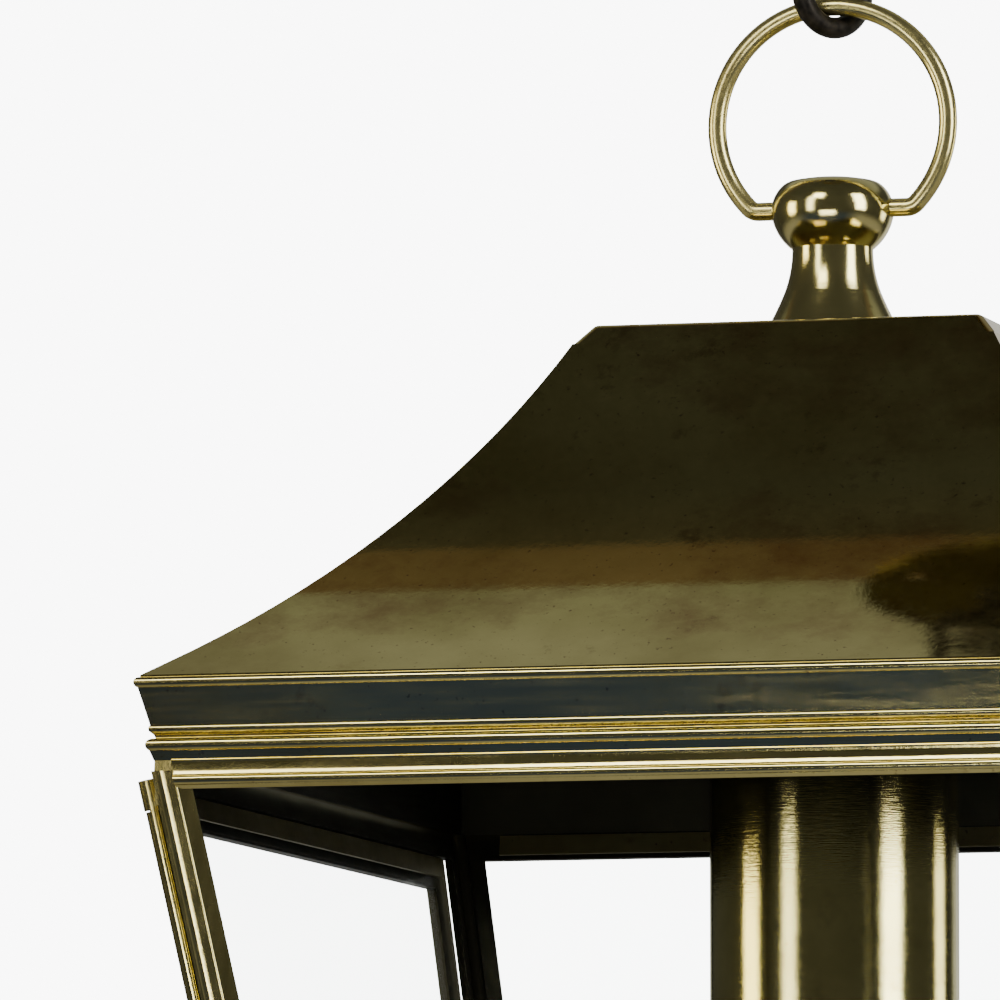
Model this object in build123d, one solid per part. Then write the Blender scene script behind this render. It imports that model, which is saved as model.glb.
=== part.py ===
"""Hanging glass lantern on a short chain: brass roof, cornice, tapered glazed body, hinged door, lamp.

Millimetres. The row's origin is the centre of the ceiling plate's top face, +Z up, and the front
of the lantern faces -Y. The lantern itself is drawn about its own axis with z = 0 at the eaves and
is lowered by EAVE_DROP when it is written, so every dimension below reads from the eaves.
"""

import math
import os

from build123d import *

# ---- roof and cornice -------------------------------------------------------------------------
EAVE_HALF = 113.4  # half width of the roof's lower edge; the cornice bead stands a little outside it
EAVE_Z = 1.0
ROOF_TOP_HALF = 43.6  # half width where the curved panels meet the cap
ROOF_TOP_Z = 72.6
CAP_TOP_HALF = 40.0
CAP_TOP_Z = 76.7
CAP_ROUND = 2.0
CORNICE_BOTTOM = -15.4
CORNICE_INNER = 108.6

# ---- tapered body -----------------------------------------------------------------------------
TAPER = 0.179  # the walls lean in by this much for each unit of height
FACE_TOP = 112.0  # half width of the wall's outer face at the cornice's underside
BASE_TOP = -316.0
LEG = 7.4  # width of a corner post's leg
LEG_THICK = 1.7
RIB_AT, RIB_R = 1.8, 2.1  # the round rib that runs down each outer corner
RETURN = 3.0  # width of the post's sloping inner edge
FACET = 6.0  # length of the flat facets at a post's top
RAIL_HIGH = 5.8
GLASS = 2.0
GLASS_BEHIND = LEG_THICK + 0.05  # the glass lies this far behind the face

# ---- base -------------------------------------------------------------------------------------
BASE_BOTTOM = -327.0
BASE_INNER = 50.5
BASE_LEDGE = -324.0

# ---- door on the left face ---------------------------------------------------------------------
DOOR_GAP = 0.8  # clearance between the wall's face and the door's back
DOOR_THICK = 2.2
DOOR_EDGE = 5.2  # how far the door's edge stays in from the corner
STILE = 9.5
DOOR_RAIL = 9.0
DOOR_TOP, DOOR_FOOT = -3.2, 3.4  # door edges, from the wall's top and from its foot
HINGE_OUT, HINGE_IN = 2.2, 3.7  # hinge axis: off the wall's face, and in from the corner
TUBE_R, KNUCKLE_R, HINGE_PIN_R, RUN_GAP = 1.6, 1.85, 0.8, 0.08
KNUCKLE_LONG = 6.0

# ---- hanging knob, ring and chain ----------------------------------------------------------------
NECK_TOP = 18.9  # height of the flared neck above the cap
KNOB_TOP = 33.6
PIN_HEIGHT = 27.0  # the ring's pivot hole, above the cap
RING_WIRE_R = 1.9
RING_R = 24.3  # to the wire's centre line
RING_CENTRE = 17.6  # above the pivot
RING_BEND = 2.7
RING_END = 6.6  # the ring's ends stop this far from the axis
LINK_WIRE_R = 2.2
LINK_END_R = 8.2  # centre line of a link's round end
LINK_STRAIGHT = 15.0
LINKS = 4
PLAY = 0.3  # room between one link's wire and the next
LINK_TURN = 54.0  # the lowest link's plane, turned about the chain from the ring's plane
HOOK_WIRE_R = 2.5
HOOK_R = 9.0
HOOK_MOUTH = (100.0, 152.0)  # degrees round the hook that are left open
PLATE_R, PLATE_THICK = 38.0, 3.0
PLATE_SCREWS, PLATE_PCD, PLATE_HOLE_R = 3, 56.0, 2.25

# ---- lamp --------------------------------------------------------------------------------------
LAMP_TUBE_R, LAMP_TUBE_WALL = 25.4, 1.2
LAMP_TUBE_TOP, LAMP_TUBE_FOOT = 60.0, -96.0
ROD_R, ROD_BORE = 5.0, 3.4
INLET_R = 3.0
HOLDER_TOP = -40.0
BULB_R = 30.0

TILT = math.degrees(math.atan(TAPER))
SLOPE = TAPER * math.cos(math.radians(TILT))  # change of half width per unit up the wall
WALL_LONG = (CORNICE_BOTTOM - BASE_TOP) / math.cos(math.radians(TILT))
FRONT, RIGHT, REAR, LEFT = range(4)
SIDE_NAMES = ("front", "right", "rear", "left")

RING_TOP_Z = CAP_TOP_Z + PIN_HEIGHT + RING_CENTRE + RING_R
LINK_LONG = LINK_STRAIGHT + 2 * LINK_END_R
LINK_PITCH = LINK_LONG - 2 * LINK_WIRE_R - PLAY
LOW_LINK_Z = RING_TOP_Z - RING_WIRE_R - LINK_WIRE_R - PLAY
HOOK_LOW_Z = LOW_LINK_Z + (LINKS - 1) * LINK_PITCH + LINK_LONG - LINK_WIRE_R - HOOK_WIRE_R - PLAY
HOOK_TOP_Z = HOOK_LOW_Z + 2 * HOOK_R
EAVE_DROP = HOOK_TOP_Z + 10.0 + PLATE_THICK

written = {}


def save(name, *shapes):
    """Writes one sub-part, lowered from the lantern's own height to the row's."""
    solids = [s for shape in shapes for s in shape.solids()]
    part = solids[0] if len(solids) == 1 else Compound(children=solids)
    written[name] = Pos(0, 0, -EAVE_DROP) * part
    export_step(written[name], f"parts/{name}.step")


def outline(start, *steps):
    """A face bounded by runs from start: (end,) is straight and (middle, end) is an arc."""
    edges, here = [], start
    for step in steps:
        end = step[-1]
        edges.append(Line(here, end) if len(step) == 1 else ThreePointArc(here, step[0], end))
        here = end
    if here != start:
        edges.append(Line(here, start))
    return make_face(edges)


def turned(profile):
    """A solid of revolution about Z from a face drawn as (radius, height)."""
    return revolve(Plane.XZ * profile, Axis.Z)


def on_side(shape, side):
    """A shape drawn for the front, carried round to another side."""
    return Rot(0, 0, 90 * side) * shape


def wedge(reach, low, high):
    """The quarter of the plan that belongs to the front, for 45 degree mitres."""
    quarter = Polyline((0, 0), (-reach, -reach), (reach, -reach), close=True)
    return extrude(Pos(0, 0, low) * make_face(quarter), high - low)


def mitred(profile, low, high):
    """The front one of four mitred lengths, from a section drawn as (half width, height)."""
    section = Plane.YZ * mirror(profile, Plane.YZ)
    bar = extrude(section, 130, both=True)
    return bar & wedge(140, low - 1, high + 1)


def wall_plane():
    """The front wall's outer face: x across, y up the slope from the cornice, z outwards."""
    tilt = math.radians(TILT)
    return Plane((0, -FACE_TOP, CORNICE_BOTTOM), x_dir=(1, 0, 0), z_dir=(0, -math.cos(tilt), -math.sin(tilt)))


def half_width(y):
    """Half width of a wall at y up its slope, where the cornice is 0."""
    return FACE_TOP + SLOPE * y


def wall_slab(margin, top, foot, back, front):
    """A slab parallel to the front wall whose sides follow the taper, margin in from the corners."""
    corners = [
        (half_width(top) - margin, top),
        (half_width(foot) - margin, foot),
        (margin - half_width(foot), foot),
        (margin - half_width(top), top),
    ]
    sheet = make_face(Polyline(*corners, close=True))
    return wall_plane() * (Pos(0, 0, back) * extrude(sheet, front - back))


def wall_bar(profile, margin):
    """A bar across the front wall from a section drawn as (out from the face, up the slope)."""
    section = Plane.YZ * mirror(Rot(0, 0, 90) * profile, Plane.YZ)
    bar = extrude(section, 130, both=True)
    return (wall_plane() * bar) & wall_slab(margin, 1, -WALL_LONG - 1, -20, 20)


# ---- roof and cornice ---------------------------------------------------------------------------
def roof_panel():
    """One curved roof panel: a hollow sweep from the cap down to the cornice's top bead."""
    top, mid, low = (ROOF_TOP_HALF, ROOF_TOP_Z), (66.9, 40.3), (109.4, 4.0)
    inner_top = (ROOF_TOP_HALF - 1.3, ROOF_TOP_Z)
    inner_mid, inner_low = (66.1, 39.5), (107.4, 4.0)
    profile = outline(
        top,
        (mid, low),
        ((EAVE_HALF, EAVE_Z + 0.4),),
        ((EAVE_HALF, EAVE_Z),),
        ((EAVE_HALF - 4.0, EAVE_Z),),
        (inner_low,),
        (inner_mid, inner_top),
    )
    return mitred(profile, EAVE_Z, ROOF_TOP_Z)


def roof_cap():
    """The cap: a shallow pressed tray with rounded edges, bored for the rod."""
    taper = math.degrees(math.atan((ROOF_TOP_HALF - CAP_TOP_HALF) / (CAP_TOP_Z - ROOF_TOP_Z)))
    square = Pos(0, 0, ROOF_TOP_Z) * Rectangle(2 * ROOF_TOP_HALF, 2 * ROOF_TOP_HALF)
    cap = extrude(square, CAP_TOP_Z - ROOF_TOP_Z, taper=taper)
    top_edges = cap.faces().sort_by(Axis.Z)[-1].edges()
    hips = cap.edges().filter_by(lambda e: e.bounding_box().size.Z > 1)
    cap = fillet(top_edges + hips, CAP_ROUND)
    inside = 2 * (CAP_TOP_HALF - 2.0)
    cap -= Pos(0, 0, ROOF_TOP_Z) * extrude(Rectangle(inside, inside), 2.6)
    return cap - Pos(0, 0, ROOF_TOP_Z) * Cylinder(ROD_R, 20)


def cornice_length():
    """One mitred length of the drawn cornice: bead, long shallow cove, fillet, bead and splay."""
    profile = outline(
        (CORNICE_INNER, EAVE_Z),
        ((113.7, EAVE_Z),),
        ((114.5, 0.0), (113.8, -1.1)),
        ((112.75, -4.9), (111.8, -8.5)),
        ((112.1, -9.2), (111.7, -9.9)),
        ((111.15, -10.4),),
        ((110.9, -11.1),),
        ((112.6, -12.4), (111.9, -13.5)),
        ((111.2, CORNICE_BOTTOM),),
        ((CORNICE_INNER, CORNICE_BOTTOM),),
    )
    return mitred(profile, CORNICE_BOTTOM, EAVE_Z)


# ---- body ---------------------------------------------------------------------------------------
def post_section(plain_front=False, plain_side=False):
    """Section of the front left post: a ribbed angle whose outer corner is the origin.

    A plain leg keeps its full thickness to the edge, for the door to shut over.
    """
    plain = Pos(LEG / 2, LEG_THICK / 2) * Rectangle(LEG, LEG_THICK)
    slope = Polyline((LEG, 0), (LEG, 1.3), (LEG - RETURN, 0), close=True)
    shaped = (plain - make_face(slope)) + Pos(LEG - RETURN, 0.28) * Circle(0.38)
    front_leg = plain if plain_front else shaped
    side_leg = mirror(plain if plain_side else shaped, Plane((0, 0, 0), z_dir=(1, -1, 0)))
    return front_leg + side_leg + Pos(RIB_AT, RIB_AT) * Circle(RIB_R)


def corner_post(section):
    """The front left post, leaning in towards the base, with its rib cut to flat facets at the top."""
    lean = Vector(TAPER, TAPER, -1)
    post = extrude(
        Pos(-FACE_TOP, -FACE_TOP, CORNICE_BOTTOM) * section,
        (CORNICE_BOTTOM - BASE_TOP) * lean.length,
        dir=lean.normalized(),
    )
    rib_front = FACE_TOP - TAPER * FACET + (RIB_R - RIB_AT)
    facet = Pos(0, 0, CORNICE_BOTTOM - FACET) * (Rot(-2, 0, 0) * Pos(-FACE_TOP, -rib_front - 5, 10) * Box(30, 10, 20))
    return post - facet - mirror(facet, Plane((0, 0, 0), z_dir=(1, -1, 0)))


def wall_rail(foot):
    """The hollow and bead rail across the wall's top or, with foot, its bottom."""
    y = -WALL_LONG + RAIL_HIGH if foot else 0
    profile = outline(
        (-LEG_THICK, y),
        ((-0.4, y),),
        ((-0.35, y - 1.6), (0.3, y - 3.0)),
        ((1.0, y - 4.0), (0.3, y - 5.0)),
        ((-0.3, y - RAIL_HIGH),),
        ((-LEG_THICK, y - RAIL_HIGH),),
    )
    return wall_bar(profile, LEG - RETURN)


def door_rail(foot):
    """The flat rail that the door shuts against."""
    y = -WALL_LONG + RAIL_HIGH if foot else 0
    return wall_slab(LEG, y, y - RAIL_HIGH, -LEG_THICK, 0)


def trimmed(rail, posts):
    """A rail fitted to the posts it meets, and to the level faces above and below it."""
    for post in posts:
        rail -= post
    span = CORNICE_BOTTOM - BASE_TOP
    return rail & (Pos(0, 0, CORNICE_BOTTOM - span / 2) * Box(300, 300, span))


def wall_glass():
    return wall_slab(4.4, -2.0, -WALL_LONG + 1.6, -GLASS_BEHIND - GLASS, -GLASS_BEHIND)


def strip_and_tabs(y_top, y_low, front, back, inset):
    """A hooked strip over a pane's top edge and two tabs under its foot, front and back its faces."""
    pieces = []
    for y, down, places, width in (
        (y_top, -1, (0,), 2 * (half_width(y_top) - inset)),
        (y_low, 1, (-0.5, 0.5), 7),
    ):
        for x in places:
            hook = Pos(0, 0, (back - 0.6 + front) / 2) * Box(width, 0.8, front - back + 0.6)
            lip = Pos(0, down * 1.9, back - 0.3) * Box(width, 3.8, 0.6)
            pieces.append(wall_plane() * (Pos(x * half_width(y), y, 0) * (hook + lip)))
    return pieces


def glazing():
    """What holds one wall's pane against its rails."""
    back = -GLASS_BEHIND - GLASS - 0.05
    return strip_and_tabs(-1.5, -WALL_LONG + 0.9, -LEG_THICK, back, 12)


# ---- base ----------------------------------------------------------------------------------------
def base_length():
    """One mitred length of the base moulding, with an inner ledge for the bottom glass."""
    face = FACE_TOP + TAPER * (BASE_TOP - CORNICE_BOTTOM)
    profile = outline(
        (BASE_INNER + 4.5, BASE_TOP),
        ((face + 0.6, BASE_TOP),),
        ((face + 1.5, BASE_TOP - 2.6), (face + 4.0, BASE_TOP - 3.6)),
        ((face + 4.7, BASE_TOP - 3.6),),
        ((face + 6.1, BASE_TOP - 5.0), (face + 4.7, BASE_TOP - 6.4)),
        ((face + 3.9, BASE_TOP - 6.4),),
        ((face + 2.2, BASE_TOP - 8.0), (face + 1.8, BASE_BOTTOM + 0.8)),
        ((face + 1.8, BASE_BOTTOM),),
        ((BASE_INNER, BASE_BOTTOM),),
        ((BASE_INNER, BASE_LEDGE),),
        ((BASE_INNER + 4.5, BASE_LEDGE),),
    )
    return mitred(profile, BASE_BOTTOM, BASE_TOP)


def base_glass():
    side = 2 * (BASE_INNER + 4.2)
    return Pos(0, 0, BASE_LEDGE + 1.5) * Box(side, side, 3.0)


# ---- door, drawn on the front wall with its hinge on the right, then carried to the left side --------
DOOR_LOW = -WALL_LONG + DOOR_FOOT
DOOR_BACK, DOOR_FRONT = DOOR_GAP, DOOR_GAP + DOOR_THICK


def hinge_line():
    """Plane whose z runs up the hinge axis, with its origin level with the door's top edge."""
    top = wall_plane() * Pos(half_width(DOOR_TOP) - HINGE_IN, DOOR_TOP, HINGE_OUT)
    low = wall_plane() * Pos(half_width(DOOR_LOW) - HINGE_IN, DOOR_LOW, HINGE_OUT)
    axis = top.position - low.position
    return Plane(top.position, x_dir=(0, 1, 0), z_dir=axis), axis.length


def hinge_rod(radius, start, length):
    """A cylinder on the hinge axis, from start below the door's top edge, downwards."""
    line, _ = hinge_line()
    return line * (Pos(0, 0, -start - length / 2) * Cylinder(radius, length))


def door_frame():
    """Hinge stile, catch stile and two rails, mitred together."""
    outer = wall_slab(DOOR_EDGE, DOOR_TOP, DOOR_LOW, DOOR_BACK, DOOR_FRONT)
    opening = wall_slab(DOOR_EDGE + STILE, DOOR_TOP - DOOR_RAIL, DOOR_LOW + DOOR_RAIL, -5, 9)
    frame = outer - opening
    front_face = frame.faces().filter_by(lambda f: abs(f.normal_at().dot(wall_plane().z_dir) - 1) < 1e-6)
    frame = chamfer(front_face.edges(), 0.5)
    outer_top = half_width(DOOR_TOP) - DOOR_EDGE
    outer_low = half_width(DOOR_LOW) - DOOR_EDGE
    inner_top = half_width(DOOR_TOP - DOOR_RAIL) - DOOR_EDGE - STILE
    inner_low = half_width(DOOR_LOW + DOOR_RAIL) - DOOR_EDGE - STILE

    def zone(*corners):
        return wall_plane() * (Pos(0, 0, -5) * extrude(make_face(Polyline(*corners, close=True)), 15))

    head = zone(
        (outer_top + 2, DOOR_TOP + 2 * DOOR_RAIL / STILE),
        (inner_top, DOOR_TOP - DOOR_RAIL),
        (-inner_top, DOOR_TOP - DOOR_RAIL),
        (-outer_top - 2, DOOR_TOP + 2 * DOOR_RAIL / STILE),
    )
    foot = zone(
        (outer_low + 2, DOOR_LOW - 2 * DOOR_RAIL / STILE),
        (inner_low, DOOR_LOW + DOOR_RAIL),
        (-inner_low, DOOR_LOW + DOOR_RAIL),
        (-outer_low - 2, DOOR_LOW - 2 * DOOR_RAIL / STILE),
    )
    sides = frame - head - foot
    stiles = sorted(sides.solids(), key=lambda s: s.center().X)
    return {"head": frame & head, "foot": frame & foot, "catch": stiles[0], "hinge": stiles[-1]}


def build_door(hinge_posts):
    """Writes the door's pieces, and the fixed half of its hinge."""
    _, long = hinge_line()
    frame = door_frame()
    start, run = KNUCKLE_LONG + 0.3, long - 2 * (KNUCKLE_LONG + 0.3)
    tube = hinge_rod(TUBE_R, start, run)
    web = wall_slab(HINGE_IN, DOOR_TOP, DOOR_LOW, HINGE_OUT - 0.9, HINGE_OUT + 0.5) & (
        wall_plane() * (Pos(half_width(0) / 2, -WALL_LONG / 2, 0) * Box(half_width(0), 2 * WALL_LONG, 30))
    )
    above = hinge_rod(KNUCKLE_R + 0.3, -9, start + 9)
    below = hinge_rod(KNUCKLE_R + 0.3, long - start, start + 9)
    web = web - wall_slab(DOOR_EDGE, 1, -WALL_LONG - 1, -20, 20) - above - below
    tube_bore = hinge_rod(HINGE_PIN_R + RUN_GAP, start - 1, run + 2)
    tube = (tube + web) - tube_bore
    stile = frame["hinge"] - above - below - tube

    knuckles, pins = [], []
    for place, pin_place in ((0, 0.4), (long - KNUCKLE_LONG, long - KNUCKLE_LONG - 8.0)):
        barrel = hinge_rod(KNUCKLE_R, place, KNUCKLE_LONG)
        middle = barrel.center()
        foot = Pos(middle.X, middle.Y, middle.Z) * Rot(TILT, 0, 0) * Box(2.6, 2 * HINGE_OUT, KNUCKLE_LONG - 1)
        foot = foot & wall_slab(0, 0, -WALL_LONG, -0.8, HINGE_OUT)
        for post in hinge_posts:
            foot -= post
        pin = hinge_rod(HINGE_PIN_R, pin_place, KNUCKLE_LONG + 7.6)
        knuckles.append((barrel + foot) - pin)
        pins.append(pin)
    save("door_hinge_knuckles", *[on_side(k, LEFT) for k in knuckles])
    save("door_hinge_pins", *[on_side(p, LEFT) for p in pins])
    save("door_hinge_tube", on_side(tube, LEFT))
    save("door_hinge_stile", on_side(stile, LEFT))
    knob_y = -WALL_LONG * 0.46
    knob_x = -(half_width(knob_y) - DOOR_EDGE - 4.0)
    shank = Pos(knob_x, knob_y, DOOR_BACK) * Cylinder(1.2, 12)
    save("door_catch_stile", on_side(frame["catch"] - wall_plane() * shank, LEFT))
    save("door_rails", on_side(frame["head"] - above, LEFT), on_side(frame["foot"] - below, LEFT))
    glass = wall_slab(11.0, DOOR_TOP - 4, DOOR_LOW + 4, DOOR_BACK - 0.02 - GLASS, DOOR_BACK - 0.02)
    save("door_glass", on_side(glass, LEFT))
    save("door_knob", on_side(door_knob(knob_x, knob_y), LEFT))
    save("door_catch_spring", on_side(catch_spring(knob_y), LEFT))
    save("door_glazing_strips", *[on_side(t, LEFT) for t in door_glazing()])


def door_knob(x, y):
    """A turned pull whose shank is riveted through the catch stile."""
    profile = outline(
        (0, -0.6),
        ((1.15, -0.6),),
        ((1.15, DOOR_THICK),),
        ((3.2, DOOR_THICK),),
        ((3.2, DOOR_THICK + 0.8),),
        ((1.9, DOOR_THICK + 2.0), (1.9, DOOR_THICK + 3.4)),
        ((4.4, DOOR_THICK + 6.2), (1.6, DOOR_THICK + 9.0)),
        ((0, DOOR_THICK + 9.3),),
    )
    return wall_plane() * (Pos(x, y, DOOR_BACK) * turned(profile))


def catch_spring(y):
    """A bent leaf riveted behind the catch stile, its bulge rubbing along the post's leg."""
    low_end = y + 4
    edge = LEG + 0.35 - half_width(low_end)
    back = DOOR_BACK - 0.02
    leaf = outline(
        (edge, back),
        ((edge, back - 2.2),),
        ((edge - 0.2, back - 3.3), (edge, back - 4.4)),
        ((edge, back - 5.4),),
        ((edge + 0.5, back - 5.4),),
        ((edge + 0.5, back - 0.5),),
        ((edge + 1.2, back - 0.5),),
        ((edge + 1.2, back),),
    )
    strip = extrude(Plane.XZ * leaf, 5, both=True)
    return wall_plane() * (Pos(0, low_end + 5, 0) * strip)


def door_glazing():
    """The strip and tabs behind the door that hold its glass."""
    back = DOOR_BACK - 0.02 - GLASS
    return strip_and_tabs(DOOR_TOP - 3.5, DOOR_LOW + 3.5, DOOR_BACK, back, 16)


# ---- hanging knob, ring, chain and ceiling plate ---------------------------------------------------
def neck():
    """The flared collar between the cap and the knob."""
    profile = outline(
        (ROD_R, 0),
        ((14.6, 0),),
        ((14.6, 0.9),),
        ((14.1, 1.3),),
        ((12.0, 5.2), (10.0, 9.6)),
        ((8.7, 14.2), (8.3, NECK_TOP)),
        ((ROD_R, NECK_TOP),),
    )
    return Pos(0, 0, CAP_TOP_Z) * turned(profile)


def knob():
    """The round knob, cross-bored for the ring and bored down the middle for the rod and the flex."""
    profile = outline(
        (0, NECK_TOP),
        ((8.5, NECK_TOP),),
        ((11.0, 21.7), (12.45, 25.4)),
        ((12.2, 28.9), (10.2, 31.9)),
        ((9.2, 32.5), (8.0, 32.8)),
        ((4.2, 33.4), (0, KNOB_TOP)),
    )
    body = turned(profile)
    body -= Pos(0, 0, NECK_TOP) * Cylinder(ROD_R, 2 * 5.6)
    body -= Cylinder(INLET_R + 1.4, 3 * KNOB_TOP)
    body -= Pos(0, 0, PIN_HEIGHT) * Rot(0, 90, 0) * Cylinder(RING_WIRE_R + RUN_GAP, 40)
    return Pos(0, 0, CAP_TOP_Z) * body


def inlet_bush():
    """Insulating bush that lines the flex hole in the knob's top."""
    profile = outline(
        (INLET_R, PIN_HEIGHT + 2.4),
        ((INLET_R + 1.4, PIN_HEIGHT + 2.4),),
        ((INLET_R + 1.4, KNOB_TOP - 0.45),),
        ((INLET_R, KNOB_TOP - 0.1),),
    )
    return Pos(0, 0, CAP_TOP_Z) * turned(profile)


def ring():
    """The wire ring: most of a circle whose ends turn in to become the pivot pins."""
    bend_x = math.sqrt((RING_R - RING_BEND) ** 2 - (RING_CENTRE - RING_BEND) ** 2)
    turn = math.degrees(math.atan2(RING_BEND - RING_CENTRE, bend_x))
    pin = Line((RING_END, 0), (bend_x, 0))
    bend = CenterArc((bend_x, RING_BEND), RING_BEND, -90, 90 + turn)
    big = CenterArc((0, RING_CENTRE), RING_R, turn, 180 - 2 * turn)
    pin_2 = Line((-RING_END, 0), (-bend_x, 0))
    bend_2 = CenterArc((-bend_x, RING_BEND), RING_BEND, -90, -90 - turn)
    path = Wire([*pin.edges(), *bend.edges(), *big.edges(), *bend_2.edges(), *pin_2.edges()])
    path = Plane.XZ * path
    start = Plane((RING_END, 0, 0), z_dir=(1, 0, 0))
    wire = sweep(start * Circle(RING_WIRE_R), path=path)
    return Pos(0, 0, CAP_TOP_Z + PIN_HEIGHT) * wire


def chain_link():
    """One oval link standing in the XZ plane, its lower wire centre at the origin."""
    section = Pos(LINK_END_R, 0) * Circle(LINK_WIRE_R)
    end = revolve(Plane.XZ * section, Axis.Z, 180)
    low = Pos(0, 0, LINK_END_R) * Rot(90, 0, 0) * end
    low = low if low.center().Z < LINK_END_R else Pos(0, 0, 2 * LINK_END_R) * Rot(180, 0, 0) * low
    high = Pos(0, 0, LINK_LONG) * Rot(180, 0, 0) * low
    arms = [
        Pos(side * LINK_END_R, 0, LINK_LONG / 2) * Cylinder(LINK_WIRE_R, LINK_STRAIGHT) for side in (-1, 1)
    ]
    return low + high + arms[0] + arms[1]


def hook():
    """A round cup hook on a collared stem, open at one side near the top."""
    loop = Rot(90, 0, 0) * Torus(HOOK_R, HOOK_WIRE_R)
    a, b = (math.radians(v) for v in HOOK_MOUTH)
    reach = 2 * HOOK_R
    gap = Polyline(
        (0, 0), (reach * math.cos(a), reach * math.sin(a)), (reach * math.cos(b), reach * math.sin(b)), close=True
    )
    loop -= extrude(Plane.XZ * make_face(gap), 10, both=True)
    tip = Pos(HOOK_R * math.cos(b), 0, HOOK_R * math.sin(b)) * Sphere(HOOK_WIRE_R)
    stem_foot = HOOK_R - 0.6
    stem = Pos(0, 0, stem_foot) * Cylinder(HOOK_WIRE_R, 10.0, align=(Align.CENTER, Align.CENTER, Align.MIN))
    collar = Pos(0, 0, HOOK_R + 6.0) * Cylinder(5.0, 4.0, align=(Align.CENTER, Align.CENTER, Align.MIN))
    thread = Pos(0, 0, HOOK_R + 10.0) * Cylinder(2.0, PLATE_THICK - 0.4, align=(Align.CENTER, Align.CENTER, Align.MIN))
    return Pos(0, 0, HOOK_LOW_Z + HOOK_R) * Rot(0, 0, LINK_TURN) * (loop + tip + stem + collar + thread)


def ceiling_plate():
    """Round plate with a stepped edge, drilled for its screws and for the hook's thread."""
    profile = outline(
        (0, 0),
        ((PLATE_R, 0),),
        ((PLATE_R + 0.0, -1.0),),
        ((PLATE_R - 1.2, -1.9), (PLATE_R - 3.0, -2.1)),
        ((PLATE_R - 3.6, -PLATE_THICK),),
        ((0, -PLATE_THICK),),
    )
    plate = turned(profile) - Pos(0, 0, -PLATE_THICK) * Cylinder(2.0, 2 * (PLATE_THICK - 0.4))
    for n in range(PLATE_SCREWS):
        hole = Pos(PLATE_PCD / 2, 0, 0) * Cylinder(PLATE_HOLE_R, 20)
        plate -= Rot(0, 0, 90 + 360 / PLATE_SCREWS * n) * hole
    return Pos(0, 0, EAVE_DROP) * plate


# ---- lamp ------------------------------------------------------------------------------------------
def ring_of(outer, inner, low, high):
    """A plain tube or washer standing on the lantern's axis."""
    tube = Cylinder(outer, high - low) - Cylinder(inner, 2 * (high - low))
    return Pos(0, 0, (low + high) / 2) * tube


def hex_nut(low, thick=4.0, across=15.0):
    nut = extrude(RegularPolygon(across / 2, 6, major_radius=False), thick) - Cylinder(ROD_R, 40)
    return Pos(0, 0, low) * nut


def holder_dome():
    """Domed cap of the lampholder, bored for the rod."""
    profile = outline(
        (ROD_R, HOLDER_TOP),
        ((8.5, HOLDER_TOP),),
        ((8.5, HOLDER_TOP - 5.0),),
        ((16.8, HOLDER_TOP - 8.6), (19.0, HOLDER_TOP - 17.0)),
        ((19.0, HOLDER_TOP - 20.0),),
        ((17.4, HOLDER_TOP - 20.0),),
        ((17.4, HOLDER_TOP - 17.0),),
        ((15.4, HOLDER_TOP - 10.0), (8.0, HOLDER_TOP - 7.4)),
        ((ROD_R, HOLDER_TOP - 7.4),),
    )
    return turned(profile)


def holder_insert():
    """Ceramic block that carries the contacts, closed at the top of the lamp's screw shell."""
    top, low = HOLDER_TOP - 11.0, HOLDER_TOP - 47.0
    profile = outline(
        (0, top - 3.0),
        ((12.6, top - 3.0),),
        ((15.0, top - 8.0),),
        ((15.6, low),),
        ((14.3, low),),
        ((14.3, top - 10.0),),
        ((0, top - 10.0),),
    )
    return turned(profile)


def bulb_glass():
    """Pear-shaped envelope, a thin shell closed by its neck inside the cap."""
    return bulb_shape(0) - bulb_shape(0.9)


def bulb_shape(inset):
    """The bulb as a solid, drawn smaller by inset for its inside."""
    neck_z, crown = HOLDER_TOP - 45.2, HOLDER_TOP - 126.0
    centre, radius = crown + BULB_R, BULB_R - inset
    shoulder = math.radians(40)
    profile = outline(
        (0, neck_z + inset),
        ((12.6 - inset, neck_z + inset),),
        ((12.6 - inset, neck_z - 4.0),),
        ((15.4 - inset, neck_z - 16.0), (radius * math.cos(shoulder), centre + radius * math.sin(shoulder))),
        ((radius, centre), (0, centre - radius)),
    )
    return turned(profile)


def bulb_cap():
    """Screw cap with its insulated tip, rolled with a shallow thread."""
    top, low = HOLDER_TOP - 22.0, HOLDER_TOP - 45.2
    profile = outline(
        (0, top),
        ((4.6, top),),
        ((4.8, top - 1.6),),
        ((11.2, top - 3.4),),
        ((13.0, top - 5.0),),
        ((13.0, low + 1.2),),
        ((12.6, low),),
        ((11.6, low),),
        ((11.6, top - 8.0),),
        ((0, top - 8.0),),
    )
    cap = turned(profile)
    for n in range(5):
        cap += Pos(0, 0, top - 7.2 - 3.0 * n) * Torus(12.75, 0.75)
    return cap


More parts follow.
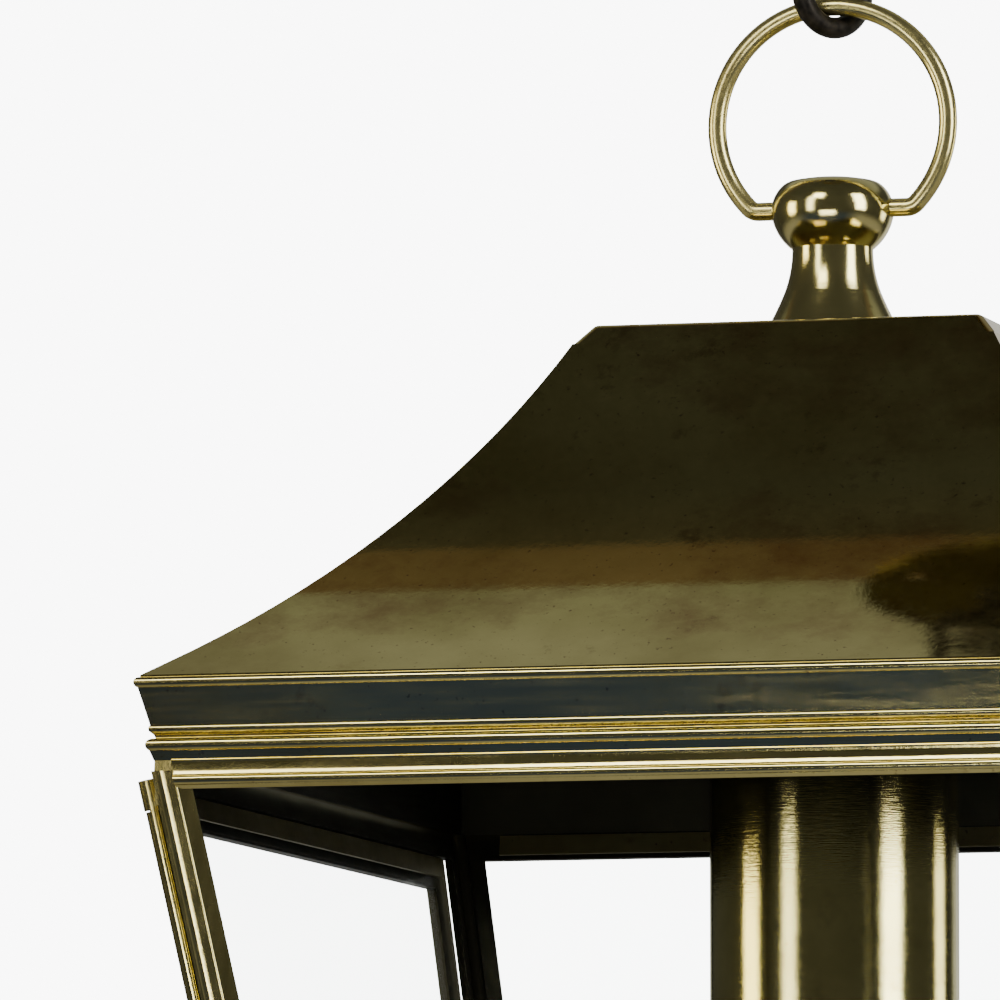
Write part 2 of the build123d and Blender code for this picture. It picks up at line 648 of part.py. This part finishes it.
def bulb_filament():
    """Glass stem with four upright filament rods fanned round it on two support wires."""
    neck_z = HOLDER_TOP - 45.0
    stem = Pos(0, 0, neck_z - 12) * Cylinder(3.0, 24)
    hub = Pos(0, 0, neck_z - 25) * Cylinder(4.6, 2.4)
    foot = Pos(0, 0, neck_z - 66) * Cylinder(2.0, 2.0)
    rods = []
    for n in range(4):
        top, low = Vector(4.0, 0, neck_z - 25), Vector(10.0, 0, neck_z - 62)
        run = low - top
        rod = Plane(top, z_dir=run) * Cylinder(0.9, run.length, align=(Align.CENTER, Align.CENTER, Align.MIN))
        tie_run = Vector(1.4, 0, neck_z - 66) - low
        tie = Plane(low - run.normalized() * 1, z_dir=tie_run) * Cylinder(
            0.5, tie_run.length + 1, align=(Align.CENTER, Align.CENTER, Align.MIN)
        )
        rods.append(Rot(0, 0, 45 + 90 * n) * (rod + tie))
    whole = stem + hub + foot
    for rod in rods:
        whole += rod
    seat = turned(outline((0, neck_z + 0.0), ((11.5, neck_z),), ((11.5, neck_z - 1.6),), ((0, neck_z - 3.0),)))
    return whole + seat


def build_lamp():
    inner = LAMP_TUBE_R - LAMP_TUBE_WALL
    rolled_rim = turned(
        outline(
            (LAMP_TUBE_R, LAMP_TUBE_FOOT),
            ((LAMP_TUBE_R + 0.4, LAMP_TUBE_FOOT),),
            ((LAMP_TUBE_R + 1.5, LAMP_TUBE_FOOT + 1.6), (LAMP_TUBE_R + 0.4, LAMP_TUBE_FOOT + 3.2)),
            ((LAMP_TUBE_R, LAMP_TUBE_FOOT + 3.2),),
        )
    )
    save("lamp_tube", ring_of(LAMP_TUBE_R, inner, LAMP_TUBE_FOOT, LAMP_TUBE_TOP) + rolled_rim)
    save("lamp_tube_lid", ring_of(inner, ROD_R, LAMP_TUBE_TOP - 2.0, LAMP_TUBE_TOP))
    rod_top = CAP_TOP_Z + NECK_TOP + 5.2
    save("lamp_rod", ring_of(ROD_R, ROD_BORE, HOLDER_TOP - 7.2, rod_top))
    nuts = [
        hex_nut(ROOF_TOP_Z - 4.2),
        hex_nut(LAMP_TUBE_TOP + 1.2),
        hex_nut(LAMP_TUBE_TOP - 7.2),
        hex_nut(HOLDER_TOP + 0.2),
    ]
    save("rod_nuts", *nuts)
    washers = [
        ring_of(11.0, ROD_R, ROOF_TOP_Z - 0.2, ROOF_TOP_Z + 1.3),
        ring_of(10.0, ROD_R, LAMP_TUBE_TOP, LAMP_TUBE_TOP + 1.2),
        ring_of(10.0, ROD_R, LAMP_TUBE_TOP - 3.2, LAMP_TUBE_TOP - 2.0),
    ]
    save("rod_washers", *washers)
    tag = Pos(17.0, 0, LAMP_TUBE_TOP + 0.4) * (Box(9, 6, 0.8) + Pos(4.0, 0, 1.6) * Box(1.0, 6, 4.0))
    save("earth_tag", tag - Pos(16.0, 0, LAMP_TUBE_TOP) * Cylinder(1.5, 10))
    screw = Pos(16.0, 0, LAMP_TUBE_TOP + 0.8) * Cylinder(3.0, 2.2, align=(Align.CENTER, Align.CENTER, Align.MIN))
    screw += Pos(16.0, 0, LAMP_TUBE_TOP) * Cylinder(1.45, 1.6, align=(Align.CENTER, Align.CENTER, Align.MIN))
    save("earth_screw", screw - Pos(16.0, 0, LAMP_TUBE_TOP + 3.0) * Box(0.8, 7, 1.2))
    save("lampholder_dome", holder_dome())
    save("lampholder_skirt", ring_of(19.0, 17.4, HOLDER_TOP - 50.0, HOLDER_TOP - 20.0))
    save("lampholder_insert", holder_insert())
    save("lampholder_screw_shell", ring_of(14.25, 13.65, HOLDER_TOP - 46.0, HOLDER_TOP - 24.0))
    save("bulb_cap", bulb_cap())
    save("bulb_glass", bulb_glass())
    save("bulb_filament", bulb_filament() & (Pos(0, 0, HOLDER_TOP - 85) * Cylinder(29, 90)))


def build_body():
    """Writes the roof, cornice, posts, rails, glass and base.

    Returns the door side's posts as they stand when that wall is turned round to the front.
    """
    panel, moulding, glass, base = roof_panel(), cornice_length(), wall_glass(), base_length()
    shaped_post = corner_post(post_section())
    by_hinge = corner_post(post_section(plain_side=True))
    by_catch = corner_post(post_section(plain_front=True))
    for side, name in enumerate(SIDE_NAMES):
        save(f"roof_panel_{name}", on_side(panel, side))
        save(f"cornice_{name}", on_side(moulding, side))
        save(f"base_moulding_{name}", on_side(base, side))
    save("post_front_left", by_hinge)
    save("post_front_right", on_side(shaped_post, RIGHT))
    save("post_rear_right", on_side(shaped_post, REAR))
    save("post_rear_left", on_side(by_catch, LEFT))
    save("roof_cap", roof_cap())
    meeting = (shaped_post, on_side(shaped_post, RIGHT))
    door_posts = (by_catch, on_side(by_hinge, RIGHT))
    high, low = trimmed(wall_rail(False), meeting), trimmed(wall_rail(True), meeting)
    for side, name in enumerate(SIDE_NAMES[:3]):
        save(f"rails_{name}", on_side(high, side), on_side(low, side))
        save(f"glass_{name}", on_side(glass, side))
    flat = [trimmed(door_rail(foot), door_posts) for foot in (False, True)]
    save("rails_left", *[on_side(rail, LEFT) for rail in flat])
    save("glazing_strips", *[on_side(piece, side) for side in range(3) for piece in glazing()])
    save("glass_base", base_glass())
    return door_posts


def build_hanging():
    save("ceiling_plate", ceiling_plate())
    save("ceiling_hook", hook())
    link = chain_link()
    for n in range(LINKS):
        above_lowest = LINKS - 1 - n
        turn = LINK_TURN + 90 * (above_lowest % 2)
        place = Pos(0, 0, LOW_LINK_Z + above_lowest * LINK_PITCH) * Rot(0, 0, turn)
        save(f"chain_link_{n + 1}", place * link)
    save("hanging_ring", ring())
    save("knob", knob())
    save("knob_neck", neck())
    save("flex_inlet_bush", inlet_bush())


def main():
    os.makedirs("parts", exist_ok=True)
    for old in os.listdir("parts"):
        os.remove(os.path.join("parts", old))
    build_door(build_body())
    build_lamp()
    build_hanging()
    print(len(written), "sub-parts; the eaves are", round(EAVE_DROP, 3), "below the ceiling")
    line, _ = hinge_line()
    turned_line = Pos(0, 0, -EAVE_DROP) * on_side(Pos(0, 0, 0), LEFT) * line.location
    hinge = Plane(turned_line)
    print("door hinge through", hinge.origin, "along", hinge.z_dir)
    print("link pitch", LINK_PITCH, "lowest link", LOW_LINK_Z - EAVE_DROP, "hook", HOOK_LOW_Z - EAVE_DROP)


main()
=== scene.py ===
"""Looks for the hanging lantern: aged polished brass, thin glass, a blackened chain and a soft studio."""

import math

import bmesh
import bpy
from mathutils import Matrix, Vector


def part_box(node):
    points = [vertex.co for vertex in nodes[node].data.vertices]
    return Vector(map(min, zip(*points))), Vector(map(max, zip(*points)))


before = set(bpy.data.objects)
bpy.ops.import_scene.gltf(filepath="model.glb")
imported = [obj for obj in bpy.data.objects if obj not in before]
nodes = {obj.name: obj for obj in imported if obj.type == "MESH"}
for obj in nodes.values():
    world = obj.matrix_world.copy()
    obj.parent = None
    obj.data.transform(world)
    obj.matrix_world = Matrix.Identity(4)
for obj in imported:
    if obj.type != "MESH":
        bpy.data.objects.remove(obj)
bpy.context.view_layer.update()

SIDES = ("front", "right", "rear", "left")
POSTS = ("front_left", "front_right", "rear_right", "rear_left")
LINKS = range(1, 5)
BEAD_RISE = 0.001  # how far the cornice's top stands above the eaves
EAVE_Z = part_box("cornice_front")[1].z - BEAD_RISE


# ---- node helpers -----------------------------------------------------------------------------------
class Nodes:
    """A short way to write the node tree of a new material or of the world."""

    def __init__(self, owner, output="OutputMaterial"):
        self.owner = owner
        owner.use_nodes = True
        self.tree = owner.node_tree
        self.tree.nodes.clear()
        self.out = self.add(output)

    def add(self, kind, values=None, **settings):
        node = self.tree.nodes.new("ShaderNode" + kind)
        for key, value in settings.items():
            setattr(node, key, value)
        for key, value in (values or {}).items():
            if isinstance(value, bpy.types.NodeSocket):
                self.tree.links.new(value, node.inputs[key])
            else:
                node.inputs[key].default_value = value
        return node

    def place(self, scale=(1, 1, 1)):
        coords = self.add("TexCoord").outputs["Object"]
        return self.add("Mapping", {"Vector": coords, "Scale": scale}).outputs["Vector"]

    def math(self, operation, a, b):
        return self.add("Math", {0: a, 1: b}, operation=operation).outputs["Value"]

    def noise(self, vector, scale, detail=4.0, rough=0.55):
        values = {"Vector": vector, "Scale": scale, "Detail": detail, "Roughness": rough}
        return self.add("TexNoise", values).outputs["Fac"]

    def ramp(self, fac, *stops):
        node = self.add("ValToRGB", {"Fac": fac})
        elements = node.color_ramp.elements
        while len(elements) < len(stops):
            elements.new(0.5)
        for element, (place, colour) in zip(elements, stops):
            element.position = place
            element.color = (*colour, 1)
        return node.outputs["Color"]

    def mix(self, fac, a, b):
        return self.add("MixRGB", {"Fac": fac, "Color1": a, "Color2": b}).outputs["Color"]

    def span(self, value, low, high, to_low, to_high):
        values = {"Value": value, "From Min": low, "From Max": high, "To Min": to_low, "To Max": to_high}
        return self.add("MapRange", values).outputs["Result"]

    def inward(self):
        """1 on faces that look in towards the lantern's axis, 0 on those that look out."""
        coords = self.add("TexCoord").outputs
        flat = self.add("VectorMath", {0: coords["Object"], 1: (1, 1, 0)}, operation="MULTIPLY")
        spoke = self.add("VectorMath", {0: flat.outputs["Vector"]}, operation="NORMALIZE").outputs["Vector"]
        facing = self.add("VectorMath", {0: spoke, 1: coords["Normal"]}, operation="DOT_PRODUCT")
        return self.span(facing.outputs["Value"], -0.12, -0.04, 1.0, 0.0)

    def bump(self, height, strength, distance):
        values = {"Height": height, "Strength": strength, "Distance": distance}
        return self.add("Bump", values).outputs["Normal"]

    def principled(self, colour, metal, rough, normal):
        values = {"Base Color": colour, "Metallic": metal, "Roughness": rough, "Normal": normal}
        return self.finish(self.add("BsdfPrincipled", values).outputs["BSDF"])

    def finish(self, shader):
        self.tree.links.new(shader, self.out.inputs["Surface"])
        return self.owner


# ---- materials ---------------------------------------------------------------------------------------
BRIGHT_BRASS = (0.80, 0.71, 0.32)
OLD_BRASS = (0.50, 0.42, 0.16)
TARNISH = (0.20, 0.10, 0.045)
# near-black painted shade for faces inside the lantern and for parts darkened as if in shadow
SHADE_BLACK = (0.030, 0.028, 0.020)
BLOOM = (0.34, 0.17, 0.08)
FINE = 0.0003  # depth in metres of polishing lines and of the iron's grain


def brass(name, age, rough, brushed=(1, 1, 1), lathe=0.0, wear=0.16, shaded_inside=False, dark=0.0, bloom=0.0):
    """Polished brass under an aged lacquer: cloudy patches, specks, fine polishing lines.

    brushed stretches the polishing lines, lathe deepens them and wear is how much duller the old
    patches are. The inside flag paints shade, near-black and rougher, on the faces looking at the axis.
    dark is how far the whole piece is painted towards that shade, and bloom the strength of the red-brown
    clouds.
    """
    m = Nodes(bpy.data.materials.new(name))
    place = m.place()
    clouds = m.noise(place, 22, 6)
    patches = m.noise(place, 75, 8, 0.7)
    specks = m.noise(place, 900, 3)
    old = m.ramp(clouds, (0.32 + 0.3 * (1 - age), BRIGHT_BRASS), (0.62 + 0.3 * (1 - age), OLD_BRASS))
    spots = m.span(patches, 0.60, 0.74, 0.0, 0.75 * age)
    stained = m.mix(spots, old, (*TARNISH, 1))
    pits = m.span(specks, 0.66, 0.72, 0.0, 0.7 * age)
    colour = m.mix(pits, stained, (*TARNISH, 1))
    if bloom:
        blooms = m.noise(m.place((1, 1, 1.6)), 13, 8, 0.72)
        colour = m.mix(m.span(blooms, 0.50, 0.64, 0.0, bloom), colour, (*BLOOM, 1))
    lines = m.noise(m.place(brushed), 700, 3)
    worn = m.span(clouds, 0.35, 0.7, rough, rough + wear * age)
    spread = m.span(lines, 0.3, 0.7, -0.03, 0.03)
    roughness = m.math("ADD", worn, spread)
    height = m.math("ADD", lines, m.span(patches, 0.4, 0.7, 0.0, 1.0))
    bump = m.bump(height, 0.05 + lathe, FINE)
    # painted shade: dark mixes the whole piece towards near-black
    if dark:
        colour = m.mix(dark, colour, (*SHADE_BLACK, 1))
    # painted shade: faces looking in towards the axis, shaded by the roof and walls, turn near-black and
    # rougher
    if shaded_inside:
        inner = m.inward()
        colour = m.mix(inner, colour, (*SHADE_BLACK, 1))
        roughness = m.math("ADD", roughness, m.span(inner, 0.0, 1.0, 0.0, 0.35))
    return m.principled(colour, 1.0, roughness, bump)


def iron(name):
    """Chain and hook: brown-black wax over iron, rubbed paler on the high grain."""
    m = Nodes(bpy.data.materials.new(name))
    grain = m.noise(m.place(), 400, 5)
    colour = m.ramp(grain, (0.35, (0.005, 0.0045, 0.004)), (0.75, (0.030, 0.024, 0.018)))
    rough = m.span(grain, 0.3, 0.7, 0.30, 0.55)
    return m.principled(colour, 0.75, rough, m.bump(grain, 0.25, FINE))


def clear_glass(name, tint=(0.985, 0.992, 0.988), gloss=0.02, strength=0.12):
    """Thin sheet: it lets the view straight through and reflects more at a glancing angle."""
    m = Nodes(bpy.data.materials.new(name))
    waves = m.noise(m.place(), 9, 2)
    smear = m.noise(m.place((1, 1, 0.35)), 60, 5)
    bump = m.bump(waves, 0.04, 0.002)
    rough = m.span(smear, 0.35, 0.75, gloss, gloss + 0.05)
    edge = m.add("Fresnel", {"IOR": 1.45, "Normal": bump}).outputs["Fac"]
    edge = m.math("MULTIPLY", edge, strength)
    shade = m.mix(m.span(smear, 0.5, 0.8, 0.0, 0.25), (*tint, 1), (0.93, 0.95, 0.94, 1))
    through = m.add("BsdfTransparent", {"Color": shade}).outputs["BSDF"]
    shine = m.add("BsdfGlossy", {"Roughness": rough, "Normal": bump}).outputs["BSDF"]
    mixed = m.add("MixShader", {0: edge, 1: through, 2: shine}).outputs["Shader"]
    return m.finish(mixed)


def moulded(name, low, high, rough, scale=500, metal=0.0, bumpy=0.08):
    """Plastic, ceramic, coated wire or plain metal with a faint grain."""
    m = Nodes(bpy.data.materials.new(name))
    grain = m.noise(m.place(), scale, 4)
    colour = m.ramp(grain, (0.3, low), (0.7, high))
    spread = m.span(grain, 0.3, 0.7, rough - 0.04, rough + 0.06)
    return m.principled(colour, metal, spread, m.bump(grain, bumpy, 0.0002))


def dress(material, *names):
    for name in names:
        data = nodes[name].data
        data.materials.clear()
        data.materials.append(material)


def dress_mouldings(name, brushed, *sides):
    """Drawn lengths, brushed along their run: X on the front and rear, Y on the other two sides; shade is
    painted on their inward faces.
    """
    drawn = brass(name, age=0.6, rough=0.07, brushed=brushed, wear=0.10, shaded_inside=True)
    dress(drawn, *[f"{kind}_{s}" for kind in ("cornice", "base_moulding", "rails") for s in sides])
    return drawn


def dress_brass():
    # roof and posts also get painted shade on the faces that look in towards the axis
    sheet = brass("roof_brass", age=0.95, rough=0.04, wear=0.04, lathe=-0.03, shaded_inside=True, bloom=0.6)
    dress(sheet, "roof_cap", *[f"roof_panel_{s}" for s in SIDES])
    dress_mouldings("moulding_brass", (0.08, 1, 1), "front", "rear")
    side_brass = dress_mouldings("moulding_brass_side", (1, 0.08, 1), "right", "left")
    dress(side_brass, "door_rails")
    upright = brass("post_brass", age=0.7, rough=0.10, brushed=(1, 1, 0.08), wear=0.10, shaded_inside=True)
    dress(upright, *[f"post_{p}" for p in POSTS])
    dress(upright, "door_hinge_tube", "door_hinge_stile", "door_catch_stile", "door_hinge_knuckles")
    turned = brass("turned_brass", age=0.35, rough=0.10, brushed=(1, 1, 12))
    dress(turned, "knob", "knob_neck", "door_knob", "door_hinge_pins", "lamp_rod", "rod_nuts", "rod_washers")
    dress(turned, "door_catch_spring", "lampholder_screw_shell", "earth_tag")
    # painted shade: the parts inside the lantern are mixed almost to black and roughened as if in shadow
    inner = brass("inner_brass", age=1.0, rough=0.35, dark=0.8)
    dress(inner, "lamp_tube_lid", "glazing_strips", "door_glazing_strips")
    # painted shade: the ceiling plate is darkened almost to black so that the roof mirrors it dark
    dress(brass("plate_brass", age=1.0, rough=0.25, dark=0.85), "ceiling_plate")
    tube = brass("tube_brass", age=0.45, rough=0.08, brushed=(0.3, 0.3, 6), lathe=0.03, wear=0.08)
    dress(tube, "lamp_tube")
    dress(brass("ring_brass", age=0.75, rough=0.20), "hanging_ring")


def dress_the_rest():
    dress(iron("blackened_iron"), "ceiling_hook", *[f"chain_link_{n}" for n in LINKS])
    pane = clear_glass("pane_glass")
    dress(pane, "glass_front", "glass_right", "glass_rear", "door_glass", "glass_base")
    dress(clear_glass("lamp_glass", tint=(0.99, 0.99, 0.985), gloss=0.01, strength=0.9), "bulb_glass")
    dress(moulded("filament", (0.78, 0.55, 0.2), (0.9, 0.7, 0.32), 0.5), "bulb_filament")
    cap = moulded("cap_metal", (0.55, 0.55, 0.56), (0.75, 0.75, 0.76), 0.25, metal=1.0)
    dress(cap, "bulb_cap", "earth_screw")
    plastic = moulded("holder_plastic", (0.012, 0.012, 0.012), (0.03, 0.03, 0.03), 0.25)
    dress(plastic, "lampholder_dome", "lampholder_skirt")
    dress(moulded("bush_plastic", (0.01, 0.01, 0.01), (0.03, 0.03, 0.03), 0.5), "flex_inlet_bush")
    dress(moulded("ceramic", (0.75, 0.73, 0.68), (0.85, 0.83, 0.79), 0.2), "lampholder_insert")


# ---- studio -------------------------------------------------------------------------------------------
AIM = Vector((0, 0, EAVE_Z))
FLOOR_RADIUS = 40
FLOOR_HEIGHT = -6.5  # low enough that the lantern can be seen from below
LIGHT_DISTANCE = 2.2
CAMERA_PLACE = Vector((0.5732, -2.3722, EAVE_Z - 0.1959))
CAMERA_UP, CAMERA_TURN = 0.098, 0.265  # radians above level, and round from looking along +Y
CAMERA_LENS, CAMERA_SENSOR = 432, 36
CAMERA_REACH = 100  # metres, past the edge of the floor


def studio_floor():
    mesh = bpy.data.meshes.new("studio_floor")
    shape = bmesh.new()
    bmesh.ops.create_circle(shape, cap_ends=True, segments=128, radius=FLOOR_RADIUS)
    shape.to_mesh(mesh)
    shape.free()
    floor = bpy.data.objects.new("studio_floor", mesh)
    bpy.context.scene.collection.objects.link(floor)
    floor.location = (0, 0, FLOOR_HEIGHT)
    floor.visible_glossy = False
    paper = moulded("floor_paper", (0.84, 0.84, 0.84), (0.88, 0.88, 0.88), 0.8, scale=3, bumpy=0.02)
    floor.data.materials.append(paper)


def studio_sky():
    """White to the eye. Shiny metal sees a dark room, a pale wall behind the lantern and a banded ceiling."""
    world = bpy.data.worlds.new("studio")
    bpy.context.scene.world = world
    w = Nodes(world, "OutputWorld")
    path = w.add("LightPath").outputs
    split = w.add("SeparateXYZ", {"Vector": w.add("TexCoord").outputs["Generated"]}).outputs
    along = w.math("ADD", split["Y"], w.math("MULTIPLY", split["X"], -0.05))
    ceiling = w.ramp(
        along,
        (0.0, (0.034, 0.035, 0.028)),
        (0.155, (0.044, 0.041, 0.030)),
        (0.165, (0.10, 0.075, 0.045)),
        (0.283, (0.12, 0.09, 0.055)),
        (0.293, (0.20, 0.21, 0.17)),
        (0.60, (0.30, 0.31, 0.28)),
    )
    room = w.ramp(
        along,
        (0.0, (0.042, 0.042, 0.034)),
        (0.86, (0.05, 0.05, 0.045)),
        (0.93, (0.75, 0.75, 0.73)),
    )
    low = w.span(split["Z"], -0.28, -0.40, 0.0, 1.0)
    aside = w.span(split["Y"], -0.70, -0.25, 0.0, 1.0)
    ground = w.mix(aside, (0.030, 0.045, 0.095, 1), (0.30, 0.29, 0.25, 1))
    high = w.span(split["Z"], 0.50, 0.62, 0.0, 1.0)
    around = w.mix(high, w.mix(low, room, ground), ceiling)

    def background(colour, strength):
        return w.add("Background", {"Color": colour, "Strength": strength}).outputs["Background"]

    def choose(switch, otherwise, chosen):
        return w.add("MixShader", {0: path[switch], 1: otherwise, 2: chosen}).outputs["Shader"]

    white = (1, 1, 1, 1)
    unseen = choose("Is Glossy Ray", background(white, 2.0), background(around, 1.0))
    w.finish(choose("Is Camera Ray", unseen, background(white, 9.0)))


def softbox(name, azimuth, elevation, width, height, power, colour):
    """A soft rectangle round the lantern, at an azimuth where 0 is the front and 90 is +X."""
    lamp = bpy.data.lights.new(name, "AREA")
    lamp.shape = "RECTANGLE"
    lamp.size, lamp.size_y = width, height
    lamp.energy = power
    lamp.color = colour
    box = bpy.data.objects.new(name, lamp)
    bpy.context.scene.collection.objects.link(box)
    a, e = math.radians(azimuth), math.radians(elevation)
    away = Vector((math.sin(a) * math.cos(e), -math.cos(a) * math.cos(e), math.sin(e)))
    box.location = AIM + away * LIGHT_DISTANCE
    box.rotation_euler = away.to_track_quat("Z", "Y").to_euler()
    box.visible_camera = False
    box.visible_transmission = False


def studio_lights():
    softbox("left_near", -29, 12, width=0.45, height=1.7, power=12, colour=(1.0, 0.96, 0.80))
    softbox("left_far", -70, 4, width=0.65, height=1.1, power=16, colour=(1.0, 0.88, 0.50))
    softbox("front_high", -16, 38, width=0.70, height=0.55, power=10, colour=(1.0, 0.95, 0.76))
    softbox("front_low", 4, -17, width=1.1, height=0.30, power=8, colour=(1.0, 0.96, 0.82))
    softbox("right_near", 68, 18, width=0.75, height=1.9, power=40, colour=(1.0, 0.98, 0.90))
    softbox("right_far", 128, 2, width=0.55, height=1.0, power=7, colour=(1.0, 0.95, 0.7))


def studio_camera():
    """Long lens, a little to the lantern's right and below it, looking slightly up."""
    data = bpy.data.cameras.new("camera")
    data.lens, data.sensor_width = CAMERA_LENS, CAMERA_SENSOR
    data.clip_end = CAMERA_REACH
    camera = bpy.data.objects.new("camera", data)
    bpy.context.scene.collection.objects.link(camera)
    camera.location = CAMERA_PLACE
    camera.rotation_euler = (math.radians(90) + CAMERA_UP, 0, CAMERA_TURN)
    bpy.context.scene.camera = camera


dress_brass()
dress_the_rest()
studio_floor()
studio_sky()
studio_lights()
studio_camera()
